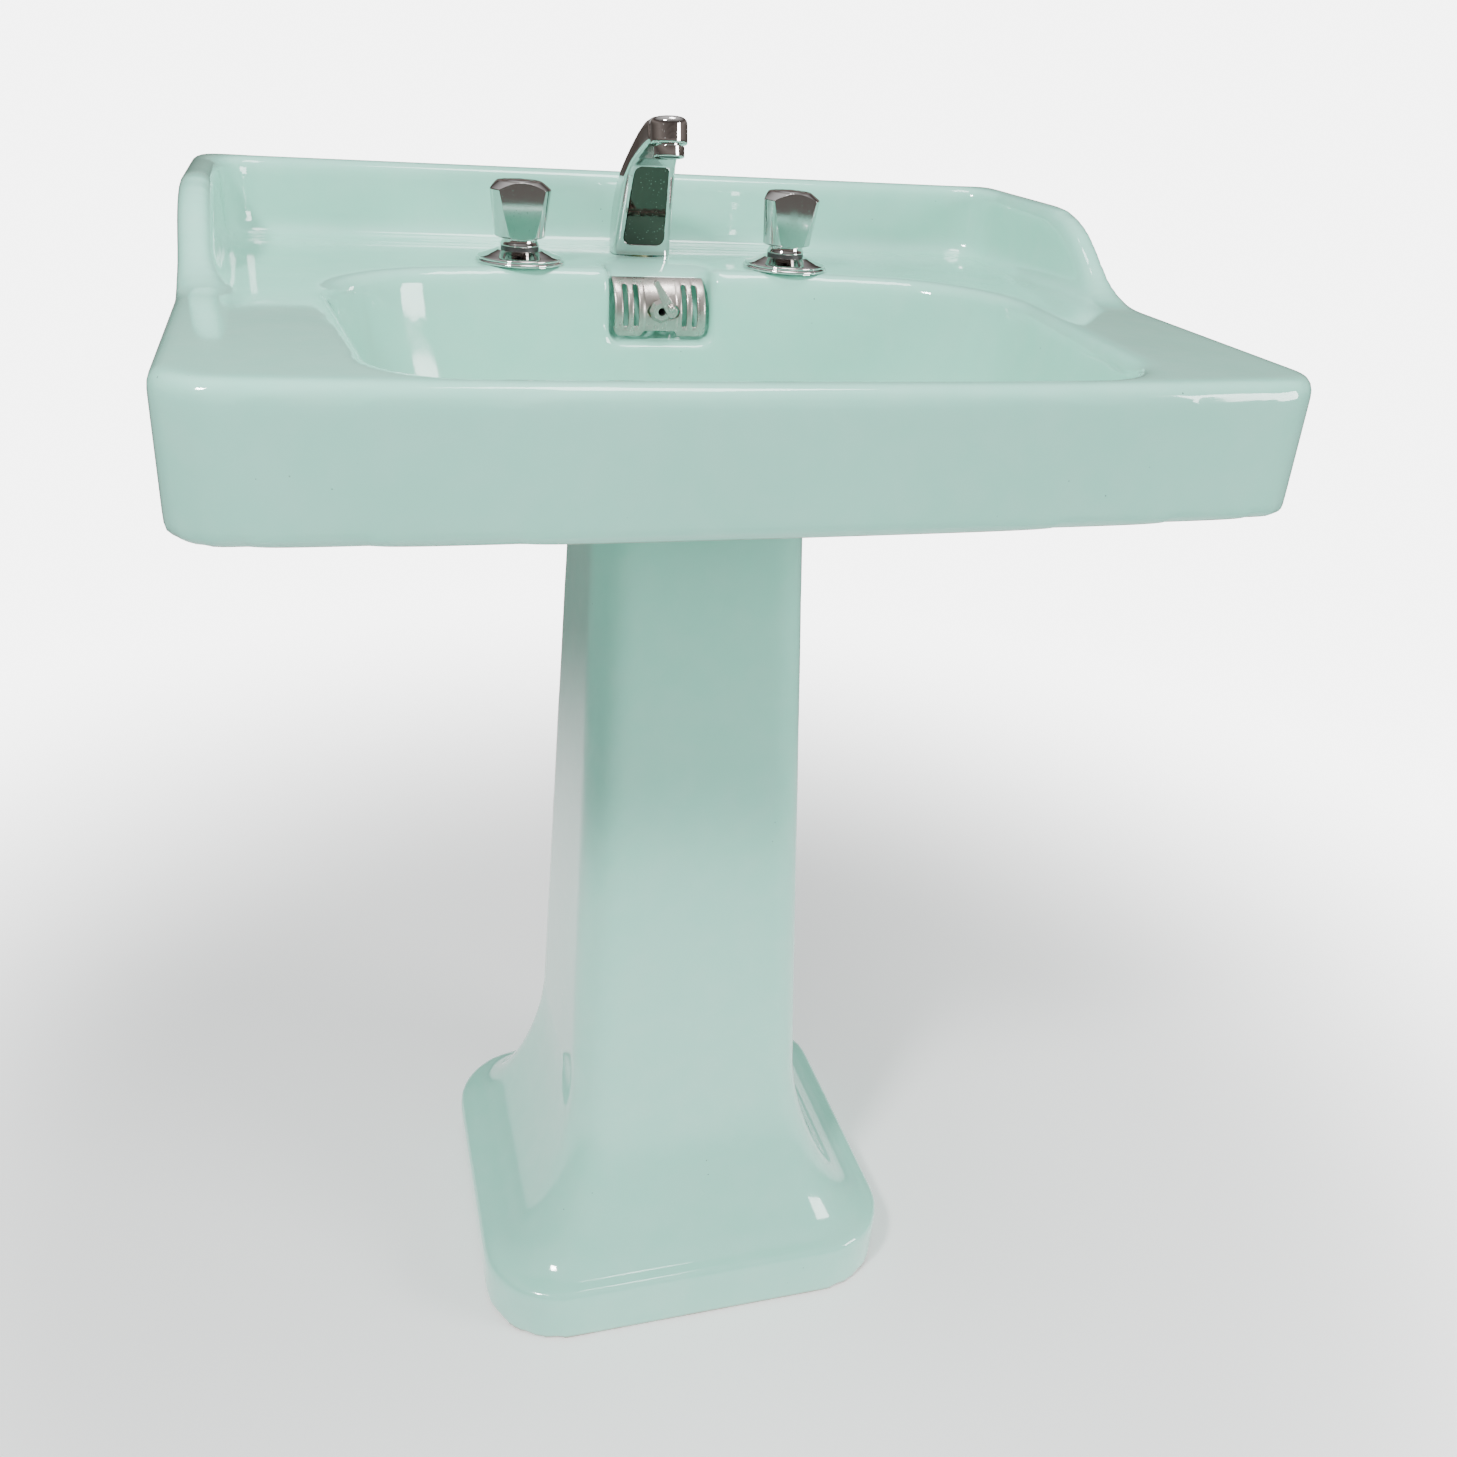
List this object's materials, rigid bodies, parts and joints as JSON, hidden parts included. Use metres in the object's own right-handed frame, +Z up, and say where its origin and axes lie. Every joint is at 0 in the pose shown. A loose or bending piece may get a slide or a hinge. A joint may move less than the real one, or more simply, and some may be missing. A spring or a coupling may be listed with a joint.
{
  "type": "pedestal sink",
  "caption": "Pedestal sink with a rectangular green glazed basin, swept splashback, facetted chrome taps, fixed spout, overflow plate with pop-up waste lever, and a tapered hollow pedestal.",
  "frame": {"origin": "on the floor, under the middle of the sink's width and depth", "axes": "+Z up, +X to the right as the user faces the sink, -Y towards the user"},
  "size_m": [0.7, 0.535, 0.9317],
  "materials": {
    "green_glaze": "glossy pale green glaze on vitreous china",
    "chrome": "polished chrome plate",
    "mirror_panel": "polished chrome, darker in reflection",
    "aged_nickel": "dull, slightly worn nickel plate",
    "black_rubber": "smooth black rubber",
    "copper": "drawn copper tube",
    "steel": "plain steel",
    "grey_plastic": "moulded plastic",
    "brass": "machined brass"
  },
  "bodies": {
    "sink": {"aerator_housing": "chrome", "aerator_insert": "grey_plastic", "backing_nuts": "brass", "basin": "green_glaze", "crossover_nuts": "brass", "crossover_pipe_cold": "copper", "crossover_pipe_hot": "copper", "deck_gaskets": "black_rubber", "escutcheon_cold": "chrome", "escutcheon_hot": "chrome", "gland_ring_cold": "black_rubber", "gland_ring_hot": "black_rubber", "lever_boss": "aged_nickel", "overflow_elbow": "brass", "overflow_plate": "aged_nickel", "overflow_tube": "brass", "pedestal": "green_glaze", "rocker_pin": "steel", "spout_body": "chrome", "spout_gasket": "black_rubber", "spout_locknut": "brass", "spout_panel": "mirror_panel", "spout_shank": "brass", "spout_tee": "brass", "spout_washer": "black_rubber", "supply_nuts": "brass", "supply_tail_cold": "copper", "supply_tail_hot": "copper", "tap_neck_cold": "chrome", "tap_neck_hot": "chrome", "trap_body": "chrome", "trap_cup": "chrome", "trap_nuts": "chrome", "trap_outlet": "chrome", "valve_body_cold": "brass", "valve_body_hot": "brass", "wall_flange": "chrome", "waste_flange": "chrome", "waste_gasket": "black_rubber", "waste_locknut": "brass", "waste_tee": "brass"},
    "tap_hot": {"knob_hot": "chrome", "index_cap_hot": "chrome", "knob_screw_hot": "steel", "spindle_hot": "brass"},
    "valve_hot": {"jumper_hot": "brass", "seat_washer_hot": "black_rubber"},
    "tap_cold": {"knob_cold": "chrome", "index_cap_cold": "chrome", "knob_screw_cold": "steel", "spindle_cold": "brass"},
    "valve_cold": {"jumper_cold": "brass", "seat_washer_cold": "black_rubber"},
    "lever": {"waste_lever": "aged_nickel"},
    "rod": {"pull_rod": "steel"},
    "rocker_arm": {"rocker": "steel"},
    "plug": {"waste_plug": "chrome", "plug_seal": "black_rubber"}
  },
  "joints": [
    {"name": "knob_turn_hot", "type": "hinge", "parent": "sink", "child": "tap_hot", "pos_m": [-0.108, 0.136, 0.838], "axis": [0, 0, 1], "range_deg": [0, 450]},
    {"name": "valve_lift_hot", "type": "slide", "parent": "sink", "child": "valve_hot", "axis": [0, 0, 1], "range_m": [0, 0.0046]},
    {"name": "knob_turn_cold", "type": "hinge", "parent": "sink", "child": "tap_cold", "pos_m": [0.108, 0.136, 0.838], "axis": [0, 0, 1], "range_deg": [0, 450]},
    {"name": "valve_lift_cold", "type": "slide", "parent": "sink", "child": "valve_cold", "axis": [0, 0, 1], "range_m": [0, 0.0046]},
    {"name": "lever_turn", "type": "hinge", "parent": "sink", "child": "lever", "pos_m": [0, 0.13, 0.789], "axis": [0, 1, 0], "range_deg": [0, 60]},
    {"name": "rod_slide", "type": "slide", "parent": "sink", "child": "rod", "axis": [0, 0, 1], "range_m": [-0.0062, 0]},
    {"name": "rocker_tilt", "type": "hinge", "parent": "sink", "child": "rocker_arm", "pos_m": [0, 0.08, 0.64], "axis": [1, 0, 0], "range_deg": [-4.4, 0]},
    {"name": "plug_lift", "type": "slide", "parent": "sink", "child": "plug", "axis": [0, 0, 1], "range_m": [0, 0.00666]}
  ],
  "couplings": [
    {"joint": "valve_lift_hot", "follows": "knob_turn_hot", "m_per_rad": 0.00057296},
    {"joint": "valve_lift_cold", "follows": "knob_turn_cold", "m_per_rad": 0.00057296},
    {"joint": "lever_turn", "follows": "plug_lift", "rad_per_m": 157.08},
    {"joint": "rod_slide", "follows": "plug_lift", "ratio": -0.9},
    {"joint": "rocker_tilt", "follows": "plug_lift", "rad_per_m": -11.111}
  ]
}
